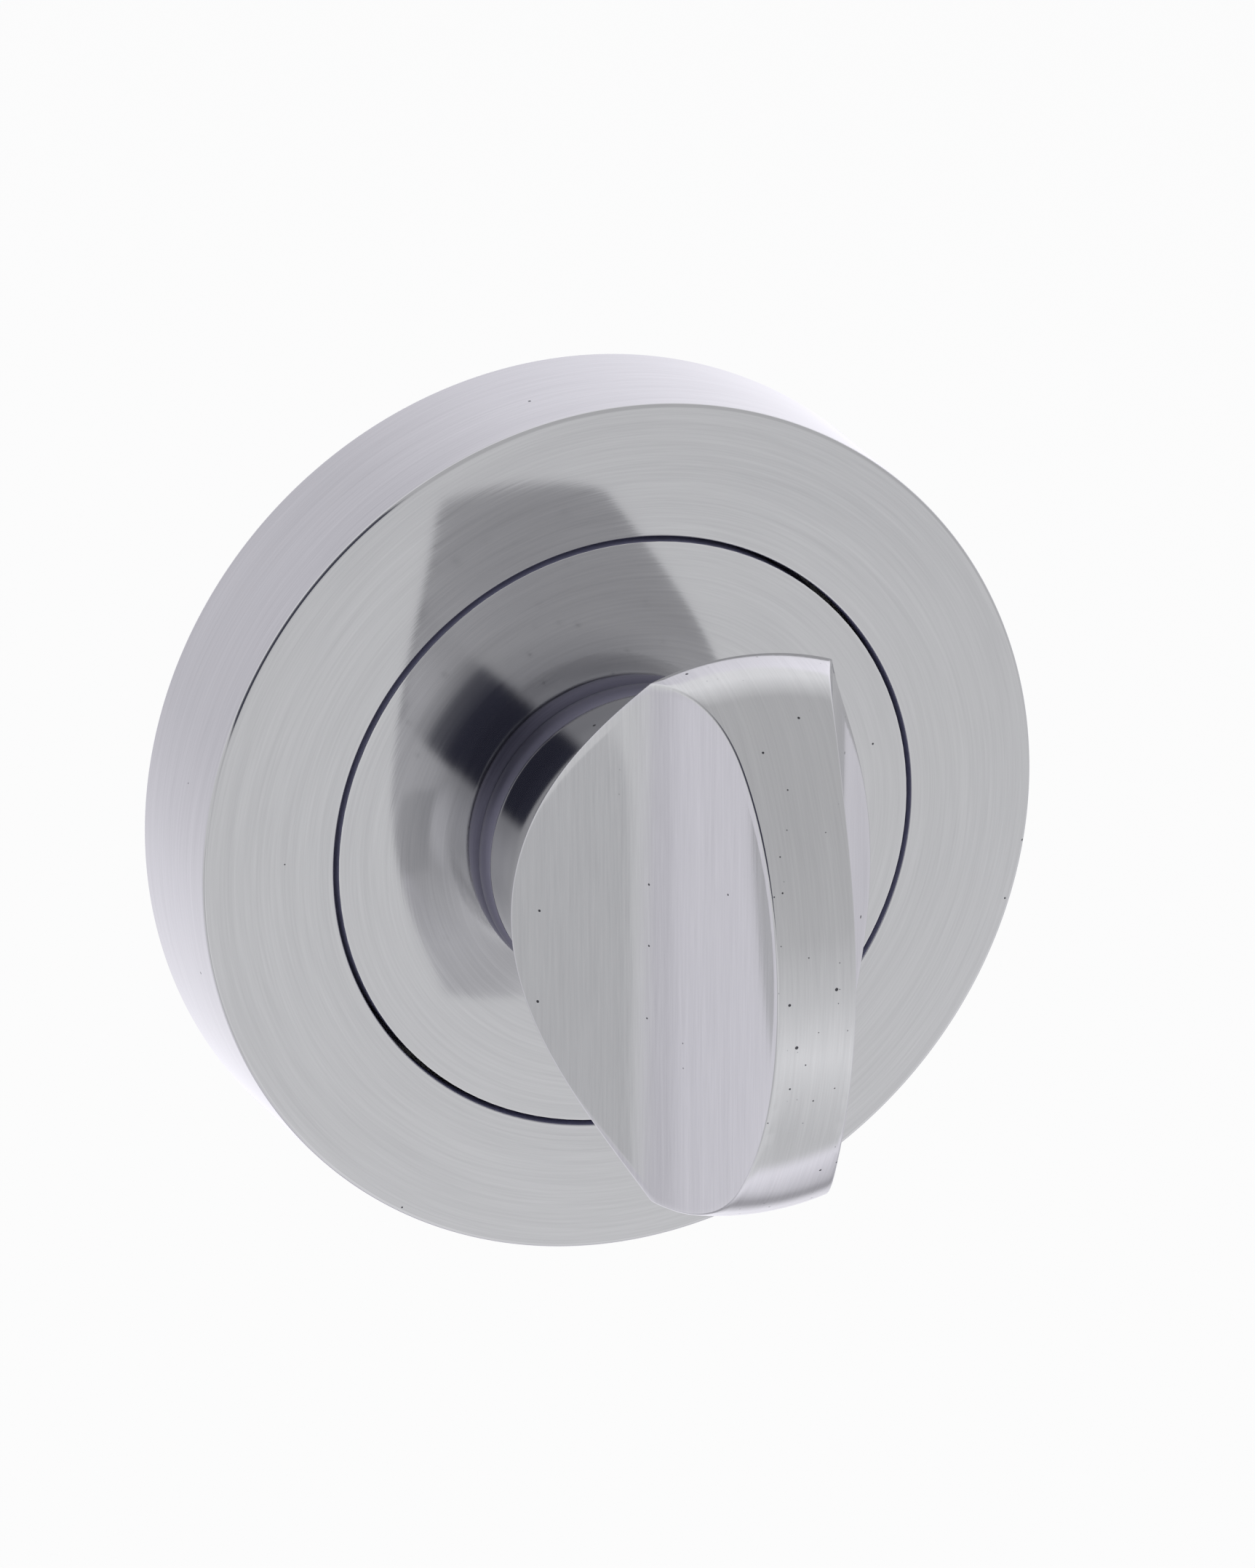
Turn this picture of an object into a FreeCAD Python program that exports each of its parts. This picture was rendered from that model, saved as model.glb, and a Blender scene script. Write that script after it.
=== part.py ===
"""Bathroom thumb turn on a round screw-on rose, in millimetres.

Every piece is drawn about its own Z axis with the door's face at Z = 0 and the user on the +Z side,
and is then swung upright, so that in the finished model the door lies behind the XZ plane,
the knob points along -Y and the knob's blade stands along +Z.
"""
import FreeCAD, Part
import Sketcher

import math
import os
import re

from FreeCAD import Placement, Rotation, Vector

# Driving dimensions: name, millimetres or degrees, meaning.
DIMENSIONS = (
    # Cover ring
    ("rose_depth", 9.5, "door face to the rose's front face"),
    ("cover_front_radius", 26.0, "rim at the front face"),
    ("rim_taper", 0.5, "how much wider the rim is at the door"),
    ("rim_chamfer", 0.2, "chamfer on the rim's front edge"),
    ("cover_wall", 1.1, "rim wall at the front"),
    ("cover_face", 1.6, "front ring's thickness"),
    ("window_share", 0.698, "round window in the front ring, as a share of the rim's radius"),
    ("window_gap", 0.3, "dark gap between window and boss"),
    ("thread_clearance", 0.1, "radial play of the cover on the flange"),
    # Inner rose casting
    ("flange_thickness", 4.2, "screwed flange"),
    ("boss_wall", 2.2, "side wall of the centre boss"),
    ("boss_face", 2.2, "front wall of the centre boss"),
    ("hub_radius", 10.8, "outside of the bearing hub"),
    ("hub_back", 4.2, "hub's back face, from the door"),
    ("rib_count", 6, "ribs between hub and boss wall"),
    ("rib_thickness", 1.6, "each rib"),
    ("screw_count", 4, "fixing screw holes"),
    ("screw_hole_radius", 2.1, "hole for a 4 mm screw"),
    # Bearing
    ("shank_radius", 6.0, "knob's shank"),
    ("bush_wall", 1.4, "nylon bush wall"),
    ("bush_flange", 0.7, "thickness of the bush's flange"),
    ("bush_rim", 1.3, "how far that flange stands out from the sleeve"),
    ("bush_setback", 0.2, "sleeve's end behind the collar's front"),
    ("running_gap", 0.05, "radial play of the shank in the bushes"),
    ("face_gap", 0.05, "end play between the stacked washers"),
    # Neck collar
    ("collar_width", 2.0, "collar from its bore to its rim"),
    ("collar_height", 1.6, "collar in front of the rose"),
    ("collar_chamfer", 0.35, "chamfers of the collar's bead"),
    ("collar_gap", 0.3, "gap between collar and knob"),
    # Knob
    ("neck_radius", 9.35, "round neck"),
    ("flare_start", 4.85, "where the flare leaves the neck, from the rose's face"),
    ("flare_radius", 7.65, "hollow curve of the flare, followed in short cones"),
    ("rim_radius", 16.4, "widest circle of the knob"),
    ("crown_height", 27.35, "top of the dome above the rose's face"),
    ("rim_share", 0.607, "height of the widest circle, as a share of the top's"),
    ("shoulder_share", 0.763, "radius of the dome's tighter curve, as a share of its rise"),
    ("scoop_radius", 25.0, "round of the hollow side faces"),
    ("scoop_lift", 1.45, "centre of that round above the top of the dome"),
    ("waist_half", 2.3, "half the blade at its thinnest"),
    ("shank_tail", 0.65, "shank behind the circlip"),
    ("flat_depth", 1.0, "depth of the shank's flats"),
    # Spindle and its screw
    ("spindle_side", 5.0, "square spindle"),
    ("spindle_length", 65.0, "spindle from end to end"),
    ("spindle_chamfer", 0.6, "chamfered ends"),
    ("socket_gap", 0.05, "play on each side in the square socket"),
    ("socket_height", 13.5, "socket's end above the rose's face"),
    ("grub_radius", 1.95, "grub screw"),
    ("grub_play", 0.05, "play in its tapped hole"),
    ("grub_length", 6.0, "grub screw from end to end"),
    ("grub_margin", 0.3, "neck left behind the grub screw's hole"),
    ("grub_key_half", 1.0, "half its hexagon socket across the flats"),
    ("grub_key_depth", 2.2, "depth of that socket"),
    # Stop and retaining parts
    ("turn_angle", 90.0, "quarter turn of the knob each way from rest, in degrees"),
    ("cam_thickness", 1.0, "stop cam"),
    ("cam_rim", 2.75, "cam's round part around the shank"),
    ("tab_clearance", 1.05, "gap between the tab's end and the boss wall"),
    ("cam_tab_half", 2.5, "half the tab's width"),
    ("cam_rest_angle", 270.0, "where the tab points at rest: down, in degrees"),
    ("key_gap", 0.04, "play of the cam on the shank"),
    ("lug_clearance", 0.4, "stop lugs' inner ends, outside the hub"),
    ("lug_half", 1.2, "half the width of a stop lug"),
    ("lug_beyond", 0.65, "how far the stop lugs pass the cam's back"),
    ("stop_gap", 0.15, "gap between tab and lug at each end of the turn"),
    ("washer_width", 2.55, "thrust washer from its bore to its outside"),
    ("thrust_thickness", 0.5, "thrust washer"),
    ("circlip_thickness", 0.8, "circlip"),
    ("circlip_width", 1.6, "circlip's strip halfway round"),
    ("circlip_offset", 0.4, "how far its outside is off centre"),
    ("circlip_opening_half", 1.7, "half its opening"),
    ("groove_depth", 0.5, "circlip groove in the shank"),
)

# Places along the axis, worked out from the dimensions above.
ROSE_FACE = "rose_depth"
COLLAR_FRONT = "(rose_depth + collar_height)"
BUSH_END = "(rose_depth + collar_height - bush_setback)"
NECK_BACK = "(rose_depth + collar_height + collar_gap)"
CAM_FRONT = "(hub_back - bush_flange - face_gap)"
CAM_BACK = "(hub_back - bush_flange - face_gap - cam_thickness)"
LUG_BACK = f"({CAM_BACK} - lug_beyond)"
THRUST_FRONT = f"({CAM_BACK} - face_gap)"
THRUST_BACK = f"({THRUST_FRONT} - thrust_thickness)"
CIRCLIP_FRONT = f"({THRUST_BACK} - face_gap)"
CIRCLIP_BACK = f"({CIRCLIP_FRONT} - circlip_thickness)"
SHANK_END = f"({CIRCLIP_BACK} - shank_tail)"
SOCKET_END = "(rose_depth + socket_height)"
SPINDLE_END = f"({SOCKET_END} - face_gap - spindle_length)"
GRUB_AXIS = f"({NECK_BACK} + grub_margin + grub_radius + grub_play)"

# Radii that follow from the dimensions above.
CAVITY_RADIUS = "(cover_front_radius - cover_wall)"
WINDOW_RADIUS = "(cover_front_radius * window_share)"
FLANGE_RADIUS = f"({CAVITY_RADIUS} - thread_clearance)"
BOSS_RADIUS = f"({WINDOW_RADIUS} - window_gap)"
BOSS_INNER = f"({BOSS_RADIUS} - boss_wall)"
SCREW_CIRCLE = f"(({FLANGE_RADIUS} + {BOSS_RADIUS}) / 2)"
BUSH_BORE = "(shank_radius + running_gap)"
HUB_BORE = f"({BUSH_BORE} + bush_wall)"
BUSH_RIM = f"({HUB_BORE} + bush_rim)"
COLLAR_RADIUS = f"({HUB_BORE} + collar_width)"
WASHER_RADIUS = f"({BUSH_BORE} + washer_width)"
CAM_RADIUS = "(shank_radius + cam_rim)"
TAB_END = f"({BOSS_INNER} - tab_clearance)"
LUG_START = "(hub_radius + lug_clearance)"
FLATS_HALF = "(shank_radius - flat_depth)"
GROOVE_RADIUS = "(shank_radius - groove_depth)"
SOCKET_HALF = "(spindle_side / 2 + socket_gap)"

# The knob's turned outline. The flare's last cone runs from the hollow curve to the rim, tangent to
# the curve. The dome is a wide arc that runs into a tighter arc, and that arc ends parallel to the axis.
FLARE_DX = "(rim_radius - neck_radius - flare_radius)"
FLARE_DZ = "(crown_height * rim_share - flare_start)"
FLARE_ANGLE = (f"(atan2({FLARE_DX}; {FLARE_DZ})"
               f" + asin(flare_radius / sqrt({FLARE_DX} ^ 2 + {FLARE_DZ} ^ 2)))")
FLARE_CORNERS = [(f"(neck_radius + flare_radius * (1 - cos({FLARE_ANGLE} * {step} / 3)))",
                  f"(rose_depth + flare_start + flare_radius * sin({FLARE_ANGLE} * {step} / 3))")
                 for step in range(4)]
DOME_RISE = "(crown_height * (1 - rim_share))"
SHOULDER = f"({DOME_RISE} * shoulder_share)"
CROWN_RADIUS = (f"((rim_radius ^ 2 + {DOME_RISE} ^ 2 - 2 * rim_radius * {SHOULDER})"
                f" / (2 * ({DOME_RISE} - {SHOULDER})))")
CROWN_JOIN = f"({CROWN_RADIUS} / ({CROWN_RADIUS} - {SHOULDER}))"
CROWN_JOIN_R = f"({CROWN_JOIN} * (rim_radius - {SHOULDER}))"
CROWN_JOIN_Z = (f"(rose_depth + crown_height - {CROWN_RADIUS}"
                f" + {CROWN_JOIN} * ({CROWN_RADIUS} - {DOME_RISE}))")

# The knob's axis points out of the door along -Y, and what is drawn upright stays upright.
UPRIGHT = Placement(Vector(0, 0, 0), Rotation(Vector(1, 0, 0), 90))

doc = FreeCAD.newDocument("ThumbTurn")


# Sheet and expressions

def fill_sheet():
    """Write the driving dimensions to the sheet, one row each."""
    sheet = doc.addObject("Spreadsheet::Sheet", "Dimensions")
    for row, (name, value, meaning) in enumerate(DIMENSIONS, start=1):
        sheet.set(f"A{row}", name)
        sheet.set(f"B{row}", str(value))
        sheet.set(f"C{row}", meaning)
        sheet.setAlias(f"B{row}", name)
    doc.recompute()
    return sheet


SHEET = fill_sheet()
ALIASES = re.compile(r"\b(" + "|".join(name for name, _, _ in DIMENSIONS) + r")\b")


def measure(expression):
    """The present value of an expression in the sheet's names."""
    return float(SHEET.evalExpression(expression))


def bind(item, path, expression):
    """Tie a property of an object, or a constraint of a sketch, to the sheet."""
    item.setExpression(path, ALIASES.sub(r"Dimensions.\1", expression))


# Bodies and sketches

def new_body(name):
    body = doc.addObject("PartDesign::Body", name)
    body.Label = name
    return body


def origin_plane(body, role):
    return next(item for item in body.Origin.OriginFeatures if item.Role == role)


def new_sketch(body, name, plane="XZ_Plane", offset=None):
    """A sketch on one of the body's own planes, moved off it along its normal where asked."""
    sketch = body.newObject("Sketcher::SketchObject", name)
    sketch.AttachmentSupport = [(origin_plane(body, plane), "")]
    sketch.MapMode = "FlatFace"
    if offset:
        bind(sketch, "AttachmentOffset.Base.z", offset)
    return sketch


def pin_point(sketch, geometry, which, across, along):
    """Hold one end of a sketch edge at a place given by two expressions."""
    for kind, axis, expression in (("DistanceX", -2, across), ("DistanceY", -1, along)):
        if expression == "0":
            sketch.addConstraint(Sketcher.Constraint("PointOnObject", geometry, which, axis))
            continue
        value = measure(expression)
        index = sketch.addConstraint(Sketcher.Constraint(kind, -1, 1, geometry, which, value))
        sketch.renameConstraint(index, f"{kind}_{geometry}_{which}")
        bind(sketch, f"Constraints.{kind}_{geometry}_{which}", expression)


def set_radius(sketch, geometry, radius):
    number = sketch.addConstraint(Sketcher.Constraint("Radius", geometry, measure(radius)))
    sketch.renameConstraint(number, f"Radius_{geometry}")
    bind(sketch, f"Constraints.Radius_{geometry}", radius)


def arc_between(start, end, radius, bulge):
    """Arc from start to end whose middle lies to the right (+1) or left (-1) of the way there."""
    chord = end - start
    half = chord.Length / 2
    normal = Vector(chord.y, -chord.x, 0).normalize()
    rise = math.sqrt(max(radius ** 2 - half ** 2, 0))
    centre = (start + end) / 2 - normal * bulge * rise
    middle = centre + normal * bulge * radius
    return Part.Arc(start, middle, end)


def draw_outline(sketch, corners):
    """Closed outline through corners (across, along), or (across, along, radius, bulge) where the
    edge that leaves the corner is an arc."""
    places = [Vector(measure(corner[0]), measure(corner[1]), 0) for corner in corners]
    edges = []
    for index, corner in enumerate(corners):
        start = places[index]
        end = places[(index + 1) % len(places)]
        if len(corner) == 2:
            edges.append(sketch.addGeometry(Part.LineSegment(start, end), False))
        else:
            arc = arc_between(start, end, measure(corner[2]), corner[3])
            edges.append(sketch.addGeometry(arc, False))
    ends = [edge_ends(sketch, edge, place) for edge, place in zip(edges, places)]
    for index, corner in enumerate(corners):
        following = (index + 1) % len(corners)
        sketch.addConstraint(Sketcher.Constraint(
            "Coincident", edges[index], ends[index][1], edges[following], ends[following][0]))
        pin_point(sketch, edges[index], ends[index][0], corner[0], corner[1])
        if len(corner) > 2:
            set_radius(sketch, edges[index], corner[2])


def edge_ends(sketch, edge, start):
    """Which end of a sketch edge (1 or 2) is its start here, and which is its far end."""
    first = sketch.getPoint(edge, 1)
    return (1, 2) if (first - start).Length < 1e-6 else (2, 1)


def draw_circle(sketch, across, along, radius):
    place = Vector(measure(across), measure(along), 0)
    circle = Part.Circle(place, Vector(0, 0, 1), measure(radius))
    index = sketch.addGeometry(circle, False)
    pin_point(sketch, index, 3, across, along)
    set_radius(sketch, index, radius)


def revolve(body, name, corners, kind="PartDesign::Revolution"):
    """Turn an outline of (radius, height) corners about the body's Z axis."""
    sketch = new_sketch(body, f"{name}_outline")
    draw_outline(sketch, corners)
    feature = body.newObject(kind, name)
    feature.Profile = sketch
    feature.ReferenceAxis = (sketch, ["V_Axis"])
    feature.Angle = 360
    doc.recompute()
    return feature


def pocket(body, name, sketch, both_ways=False, depth=None, reverse=False):
    """Cut a sketch out of the body and make sure that it took something away."""
    before = body.Shape.Volume
    feature = body.newObject("PartDesign::Pocket", name)
    feature.Profile = sketch
    feature.Midplane = both_ways
    feature.Reversed = reverse
    if depth is None:
        feature.Type = "ThroughAll"
    else:
        bind(feature, "Length", depth)
    doc.recompute()
    if body.Shape.Volume >= before:
        raise RuntimeError(f"{body.Label}: {name} cut nothing")
    return feature


def radial_box(body, name, angle, inner, outer, half_width, low, high):
    """Block of the body that lies along a radius, from inner to outer and from low to high."""
    box = body.newObject("PartDesign::AdditiveBox", name)
    bind(box, "Length", f"{outer} - {inner}")
    bind(box, "Width", f"2 * {half_width}")
    bind(box, "Height", f"{high} - {low}")
    turn = f"({angle}) * 1deg"
    box.Placement = Placement(Vector(0, 0, 0), Rotation(Vector(0, 0, 1), measure(angle)))
    bind(box, "Placement.Rotation.Angle", turn)
    bind(box, "Placement.Base.x", f"{inner} * cos({turn}) + {half_width} * sin({turn})")
    bind(box, "Placement.Base.y", f"{inner} * sin({turn}) - {half_width} * cos({turn})")
    bind(box, "Placement.Base.z", low)
    doc.recompute()
    return box


def polar_copies(body, name, originals, count):
    """Repeat features evenly about the body's Z axis."""
    pattern = body.newObject("PartDesign::PolarPattern", name)
    pattern.Originals = originals
    axis = next(item for item in body.Origin.OriginFeatures if item.Role == "Z_Axis")
    pattern.Axis = (axis, [""])
    pattern.Angle = 360
    bind(pattern, "Occurrences", count)
    body.Tip = pattern
    doc.recompute()
    return pattern


def dress(body, name, kind, edge_test, size):
    """Fillet or chamfer the edges of the body that edge_test picks."""
    base = body.Tip
    chosen = [f"Edge{number}" for number, edge in enumerate(base.Shape.Edges, start=1)
              if edge_test(edge)]
    if not chosen:
        raise RuntimeError(f"{body.Label}: no edge for {name}")
    feature = body.newObject(kind, name)
    feature.Base = (base, chosen)
    bind(feature, "Radius" if kind.endswith("Fillet") else "Size", size)
    doc.recompute()
    return feature


def circle_at(radius, height):
    """Test for a full circle of a given radius and height about the Z axis."""
    wanted_radius = measure(radius)
    wanted_height = measure(height)

    def test(edge):
        if edge.Degenerated or not isinstance(edge.Curve, Part.Circle):
            return False
        return (abs(edge.Curve.Radius - wanted_radius) < 1e-4
                and abs(edge.Curve.Center.z - wanted_height) < 1e-4)
    return test


# Part primitives

def cylinder(name, radius, height, base, offset_y=None):
    item = doc.addObject("Part::Cylinder", name)
    bind(item, "Radius", radius)
    bind(item, "Height", height)
    bind(item, "Placement.Base.z", base)
    if offset_y:
        bind(item, "Placement.Base.y", offset_y)
    return item


def block(name, corner, sides):
    """Box from its low corner, with the lengths of its sides along X, Y and Z."""
    item = doc.addObject("Part::Box", name)
    for axis, expression in zip("xyz", corner):
        bind(item, f"Placement.Base.{axis}", expression)
    for side, expression in zip(("Length", "Width", "Height"), sides):
        bind(item, side, expression)
    return item


def cut(name, base, tool):
    item = doc.addObject("Part::Cut", name)
    item.Base = base
    item.Tool = tool
    return item


def fuse(name, shapes):
    item = doc.addObject("Part::MultiFuse", name)
    item.Shapes = shapes
    item.Refine = True
    return item


# Pieces of the rose

def make_cover_ring():
    """Screw-on cover: tapered rim and flat front ring."""
    body = new_body("cover_ring")
    inside_face = "(rose_depth - cover_face)"
    revolve(body, "cover_turned", [
        (WINDOW_RADIUS, ROSE_FACE),
        ("cover_front_radius", ROSE_FACE),
        ("(cover_front_radius + rim_taper)", "0"),
        (CAVITY_RADIUS, "0"),
        (CAVITY_RADIUS, inside_face),
        (WINDOW_RADIUS, inside_face),
    ])
    dress(body, "rim_edge", "PartDesign::Chamfer", circle_at("cover_front_radius", ROSE_FACE),
          "rim_chamfer")
    return body


def stop_lug_angle(side):
    """Angle of the stop lug that the tab meets after its quarter turn to side +1 or -1."""
    corner = f"sqrt({LUG_START} ^ 2 + lug_half ^ 2)"
    spread = (f"(asin((cam_tab_half + stop_gap) / {corner})"
              f" + atan(lug_half / {LUG_START})) / 1deg")
    return f"cam_rest_angle + {side} * (turn_angle + {spread})"


def make_rose_base():
    """Inner rose casting: flange, centre boss, bearing hub, ribs, stop lugs and screw holes."""
    body = new_body("rose_base")
    boss_ceiling = "(rose_depth - boss_face)"
    revolve(body, "base_cast", [
        (HUB_BORE, "hub_back"),
        ("hub_radius", "hub_back"),
        ("hub_radius", boss_ceiling),
        (BOSS_INNER, boss_ceiling),
        (BOSS_INNER, "0"),
        (FLANGE_RADIUS, "0"),
        (FLANGE_RADIUS, "flange_thickness"),
        (BOSS_RADIUS, "flange_thickness"),
        (BOSS_RADIUS, ROSE_FACE),
        (HUB_BORE, ROSE_FACE),
    ])

    overlap = "boss_wall / 2"
    rib = radial_box(body, "rib", "0", f"(hub_radius - {overlap})", f"({BOSS_INNER} + {overlap})",
                     "(rib_thickness / 2)", "hub_back", f"({boss_ceiling} + {overlap})")
    polar_copies(body, "ribs", [rib], "rib_count")
    for side, name in ((1, "right_lug"), (-1, "left_lug")):
        radial_box(body, name, stop_lug_angle(side), LUG_START, f"({BOSS_INNER} + {overlap})",
                   "lug_half", LUG_BACK, f"({boss_ceiling} + {overlap})")

    seat = new_sketch(body, "screw_place", "XY_Plane", offset="flange_thickness")
    draw_circle(seat, SCREW_CIRCLE, "0", "screw_hole_radius")
    doc.recompute()
    hole = body.newObject("PartDesign::Hole", "screw_hole")
    hole.Profile = seat
    hole.DepthType = "ThroughAll"
    hole.Threaded = False
    bind(hole, "Diameter", "2 * screw_hole_radius")
    doc.recompute()
    polar_copies(body, "screw_holes", [hole], "screw_count")
    return body


def make_neck_collar():
    """Slim bead between rose and knob, centred by the end of the bush."""
    body = new_body("neck_collar")
    edge = f"({COLLAR_RADIUS} - collar_chamfer)"
    revolve(body, "collar_turned", [
        (HUB_BORE, ROSE_FACE),
        (edge, ROSE_FACE),
        (COLLAR_RADIUS, f"({ROSE_FACE} + collar_chamfer)"),
        (COLLAR_RADIUS, f"({COLLAR_FRONT} - collar_chamfer)"),
        (edge, COLLAR_FRONT),
        (HUB_BORE, COLLAR_FRONT),
    ])
    return body


def make_bush():
    """Nylon bush through hub and collar, with a flange that the stop cam turns against."""
    body = new_body("bush")
    flange_back = "(hub_back - bush_flange)"
    revolve(body, "bush_turned", [
        (BUSH_BORE, flange_back),
        (BUSH_RIM, flange_back),
        (BUSH_RIM, "hub_back"),
        (HUB_BORE, "hub_back"),
        (HUB_BORE, BUSH_END),
        (BUSH_BORE, BUSH_END),
    ])
    return body


# Pieces that turn

def make_thumb_turn():
    """Knob and shank in one casting: turned form first, then the two scoops and the fittings."""
    body = new_body("thumb_turn")
    revolve(body, "knob_turned", [
        ("0", SHANK_END),
        ("shank_radius", SHANK_END),
        ("shank_radius", NECK_BACK),
        ("neck_radius", NECK_BACK),
        *FLARE_CORNERS,
        ("rim_radius", "(rose_depth + crown_height * rim_share)", SHOULDER, 1),
        (CROWN_JOIN_R, CROWN_JOIN_Z, CROWN_RADIUS, 1),
        ("0", "(rose_depth + crown_height)"),
    ])

    scoops = new_sketch(body, "scoop_rounds")
    for side in ("", "-"):
        draw_circle(scoops, f"{side}(waist_half + scoop_radius)",
                    "(rose_depth + crown_height + scoop_lift)", "scoop_radius")
    pocket(body, "scoops", scoops, both_ways=True)

    socket = new_sketch(body, "socket_square", "XY_Plane", offset=SHANK_END)
    draw_outline(socket, [
        (f"-{SOCKET_HALF}", f"-{SOCKET_HALF}"),
        (SOCKET_HALF, f"-{SOCKET_HALF}"),
        (SOCKET_HALF, SOCKET_HALF),
        (f"-{SOCKET_HALF}", SOCKET_HALF),
    ])
    pocket(body, "spindle_socket", socket, depth=f"({SOCKET_END} - {SHANK_END})", reverse=True)

    tapped = new_sketch(body, "grub_place")
    draw_circle(tapped, "0", GRUB_AXIS, "(grub_radius + grub_play)")
    pocket(body, "grub_hole", tapped, depth="(neck_radius + flare_radius)", reverse=True)

    flats = new_sketch(body, "shank_flats", "XY_Plane", offset=SHANK_END)
    beyond = "(shank_radius + 1)"
    for side in ("", "-"):
        draw_outline(flats, [
            (f"{side}{FLATS_HALF}", f"-{beyond}"),
            (f"{side}{beyond}", f"-{beyond}"),
            (f"{side}{beyond}", beyond),
            (f"{side}{FLATS_HALF}", beyond),
        ])
    pocket(body, "flats", flats, depth=f"({CAM_FRONT} + face_gap - {SHANK_END})", reverse=True)

    before = body.Shape.Volume
    revolve(body, "circlip_groove", [
        (GROOVE_RADIUS, CIRCLIP_BACK),
        ("(shank_radius + 1)", CIRCLIP_BACK),
        ("(shank_radius + 1)", CIRCLIP_FRONT),
        (GROOVE_RADIUS, CIRCLIP_FRONT),
    ], kind="PartDesign::Groove")
    if body.Shape.Volume >= before:
        raise RuntimeError("the circlip groove cut nothing")
    return body


def make_stop_cam():
    """Plate keyed on the shank's flats, with the tab that meets the stop lugs."""
    through = "(3 * cam_thickness)"
    below = f"({CAM_BACK} - cam_thickness)"
    plate = cylinder("cam_plate", CAM_RADIUS, "cam_thickness", CAM_BACK)
    tab = block("cam_tab", ("0", "0", CAM_BACK), (TAB_END, "2 * cam_tab_half", "cam_thickness"))
    turn = "cam_rest_angle * 1deg"
    tab.Placement.Rotation = Rotation(Vector(0, 0, 1), measure("cam_rest_angle"))
    bind(tab, "Placement.Rotation.Angle", turn)
    bind(tab, "Placement.Base.x", f"cam_tab_half * sin({turn})")
    bind(tab, "Placement.Base.y", f"-cam_tab_half * cos({turn})")
    round_hole = cylinder("cam_round_hole", "(shank_radius + key_gap)", through, below)
    band = block("cam_flats", (f"-({FLATS_HALF} + key_gap)", "-2 * shank_radius", below),
                 (f"2 * ({FLATS_HALF} + key_gap)", "4 * shank_radius", through))
    keyhole = doc.addObject("Part::Common", "cam_keyhole")
    keyhole.Base = round_hole
    keyhole.Tool = band
    return cut("stop_cam", fuse("cam_blank", [plate, tab]), keyhole)


def make_thrust_washer():
    ring = cylinder("thrust_blank", WASHER_RADIUS, "thrust_thickness", THRUST_BACK)
    hole = cylinder("thrust_hole", BUSH_BORE, "3 * thrust_thickness",
                    f"({THRUST_BACK} - thrust_thickness)")
    return cut("thrust_washer", ring, hole)


def make_circlip():
    """Open retaining ring in the shank's groove, thicker opposite its opening."""
    below = f"({CIRCLIP_BACK} - circlip_thickness)"
    through = "(3 * circlip_thickness)"
    inner = f"({GROOVE_RADIUS} + key_gap)"
    outer = f"({inner} + circlip_width)"
    ring = cylinder("circlip_blank", outer, "circlip_thickness", CIRCLIP_BACK,
                    offset_y="-circlip_offset")
    hole = cylinder("circlip_hole", inner, through, below)
    opening = block("circlip_opening", ("-circlip_opening_half", "0", below),
                    ("2 * circlip_opening_half", "2 * shank_radius", through))
    return cut("circlip", ring, fuse("circlip_cutter", [hole, opening]))


def make_spindle():
    """Square bar from the knob's socket, through the rose and into the door."""
    body = new_body("spindle")
    bar = body.newObject("PartDesign::AdditiveBox", "bar")
    bind(bar, "Length", "spindle_side")
    bind(bar, "Width", "spindle_side")
    bind(bar, "Height", "spindle_length")
    bind(bar, "Placement.Base.x", "-spindle_side / 2")
    bind(bar, "Placement.Base.y", "-spindle_side / 2")
    bind(bar, "Placement.Base.z", SPINDLE_END)
    doc.recompute()
    ends = (measure(SPINDLE_END), measure(f"{SPINDLE_END} + spindle_length"))

    def at_an_end(edge):
        height = edge.CenterOfMass.z
        return min(abs(height - end) for end in ends) < 1e-6
    dress(body, "bar_ends", "PartDesign::Chamfer", at_an_end, "spindle_chamfer")
    return body


def make_grub_screw():
    """Set screw along its own Z axis, its flat end at the origin and its key socket out."""
    body = new_body("grub_screw")
    revolve(body, "grub_turned", [
        ("0", "0"),
        ("grub_radius", "0"),
        ("grub_radius", "grub_length"),
        ("0", "grub_length"),
    ])
    key = new_sketch(body, "key_hexagon", "XY_Plane", offset="grub_length")
    corner = "(grub_key_half / cos(30deg))"
    draw_outline(key, [(f"{corner} * cos({60 * turn}deg)", f"{corner} * sin({60 * turn}deg)")
                       for turn in range(6)])
    pocket(body, "key_socket", key, depth="grub_key_depth")
    return body


def stand_upright(piece, inner=Placement()):
    """Swing a piece from its drawing place to its place on the door."""
    piece.Placement = UPRIGHT.multiply(inner)


def make_pieces():
    """Every piece of the lock, each in its own node, in its place."""
    pieces = [
        make_cover_ring(),
        make_rose_base(),
        make_neck_collar(),
        make_bush(),
        make_thumb_turn(),
        make_stop_cam(),
        make_thrust_washer(),
        make_circlip(),
        make_spindle(),
    ]
    doc.recompute()
    for piece in pieces:
        stand_upright(piece)
    grub = make_grub_screw()
    seat = Vector(0, -measure("spindle_side / 2"), measure(GRUB_AXIS))
    stand_upright(grub, Placement(seat, Rotation(Vector(1, 0, 0), 90)))
    doc.recompute()
    return pieces + [grub]


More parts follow.
